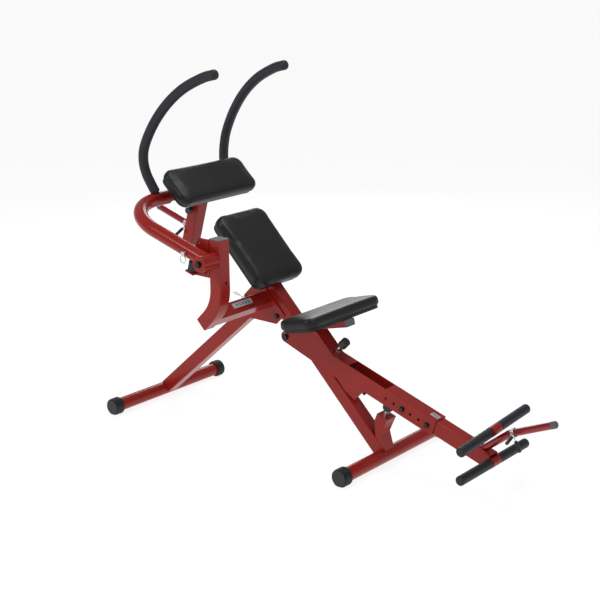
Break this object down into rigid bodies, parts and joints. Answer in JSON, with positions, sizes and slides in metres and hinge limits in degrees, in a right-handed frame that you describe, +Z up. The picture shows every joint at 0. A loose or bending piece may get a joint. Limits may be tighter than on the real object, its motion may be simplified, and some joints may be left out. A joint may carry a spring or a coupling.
{
  "type": "roman chair",
  "caption": "Inclined abdominal bench with a pivoting loadable arm carrying two curved handles and a pad, a rocking seat lever with foot rollers, and a folding rear leg.",
  "frame": {"origin": "middle of the bounding box at floor level", "axes": "+X towards the foot rollers, +Y to the user's left, +Z up"},
  "size_m": [1.7822, 0.7603, 1.337],
  "materials": {
    "red_paint": "glossy red powder coat",
    "candy_paint": "glossy metallic dark red lacquer",
    "black_paint": "satin black",
    "vinyl": "black vinyl upholstery with a soft sheen",
    "foam": "dense charcoal foam",
    "black_rubber": "matte black rubber",
    "grey_plastic": "grey plastic",
    "black_steel": "black oxide",
    "black_plastic": "black moulded plastic",
    "bright_steel": "bright plated steel"
  },
  "bodies": {
    "frame": {"spine_tube": "red_paint", "frame_plugs": "grey_plastic", "front_stabilizer": "red_paint", "front_caps": "black_rubber", "bracket_plate_near": "red_paint", "bracket_plate_far": "red_paint", "crossbar": "red_paint", "upright": "red_paint", "sector_plate": "red_paint", "arm_rest": "red_paint", "arm_bumper": "black_rubber", "lever_rest": "red_paint", "lever_bumper": "black_rubber", "lever_bumper_stud": "bright_steel", "lever_lug": "red_paint", "back_board": "black_paint", "back_pad": "vinyl", "back_bolts": "black_steel", "arm_pivot_bolt": "black_steel", "leg_pivot_bolt": "black_steel"},
    "rear_leg": {"rear_leg_tube": "red_paint", "rear_leg_lug": "red_paint", "rear_stabilizer": "red_paint", "rear_caps": "black_rubber"},
    "leg_pin": {"leg_lock_pin": "bright_steel"},
    "crunch_arm": {"pivot_tube": "red_paint", "arm_tube": "red_paint", "arm_crossbar": "red_paint", "arm_post": "red_paint", "arm_post_plug": "grey_plastic", "handle_tubes": "black_paint", "handle_grips": "foam", "handle_sockets": "red_paint", "rear_plate_post": "candy_paint", "rear_post_cap": "grey_plastic", "pad_pin_barrel": "bright_steel"},
    "rear_collar": {"rear_spring_collar": "bright_steel"},
    "arm_pin": {"arm_lock_pin": "bright_steel"},
    "pad_slide": {"pad_slide_tube": "black_paint", "upper_board": "black_paint", "upper_pad": "vinyl"},
    "pad_pin": {"pad_pull_pin": "black_plastic"},
    "foot_lever": {"lever_plate_near": "red_paint", "lever_plate_far": "red_paint", "lever_top_plates": "red_paint", "lever_bottom_plate": "red_paint", "lever_bolts": "black_steel", "foot_tube": "red_paint", "foot_axles": "red_paint", "foot_rollers": "foam", "front_plate_post": "candy_paint", "front_post_cap": "grey_plastic", "seat_receptacle": "red_paint", "seat_pin_barrel": "bright_steel"},
    "front_collar": {"front_spring_collar": "bright_steel"},
    "seat": {"seat_post": "red_paint", "seat_post_plug": "grey_plastic", "seat_board": "black_paint", "seat_pad": "vinyl"},
    "seat_pin": {"seat_pull_pin": "black_plastic"}
  },
  "joints": [
    {"name": "rear_leg_fold", "type": "hinge", "parent": "frame", "child": "rear_leg", "pos_m": [-0.24114, 0.0462, 0.44973], "axis": [0, -1, 0], "range_deg": [0, 80]},
    {"name": "leg_pin_pull", "type": "slide", "parent": "frame", "child": "leg_pin", "axis": [0, -1, 0], "range_m": [0, 0.075]},
    {"name": "crunch_arm_swing", "type": "hinge", "parent": "frame", "child": "crunch_arm", "pos_m": [-0.2415, -0.3258, 0.7235], "axis": [0, 1, 0], "range_deg": [0, 55]},
    {"name": "rear_collar_slide", "type": "slide", "parent": "crunch_arm", "child": "rear_collar", "axis": [-0.9573, 0, 0.289], "range_m": [0, 0.1]},
    {"name": "arm_pin_pull", "type": "slide", "parent": "crunch_arm", "child": "arm_pin", "axis": [0, -1, 0], "range_m": [0, 0.06]},
    {"name": "upper_pad_height", "type": "slide", "parent": "crunch_arm", "child": "pad_slide", "axis": [0.289, 0, 0.9573], "range_m": [0, 0.06]},
    {"name": "pad_pin_pull", "type": "slide", "parent": "crunch_arm", "child": "pad_pin", "axis": [0, -1, 0], "range_m": [0, 0.01], "stiffness_N_per_m": 400, "springref_m": -0.008},
    {"name": "foot_lever_rock", "type": "hinge", "parent": "frame", "child": "foot_lever", "pos_m": [-0.20055, 0.0462, 0.38001], "axis": [0, -1, 0], "range_deg": [0, 24]},
    {"name": "front_collar_slide", "type": "slide", "parent": "foot_lever", "child": "front_collar", "axis": [0.915, 0, 0.4035], "range_m": [0, 0.1]},
    {"name": "seat_height", "type": "slide", "parent": "foot_lever", "child": "seat", "axis": [-0.7071, 0, 0.7071], "range_m": [0, 0.025]},
    {"name": "seat_pin_pull", "type": "slide", "parent": "foot_lever", "child": "seat_pin", "axis": [0.7071, 0, 0.7071], "range_m": [0, 0.01], "stiffness_N_per_m": 400, "springref_m": -0.008}
  ]
}
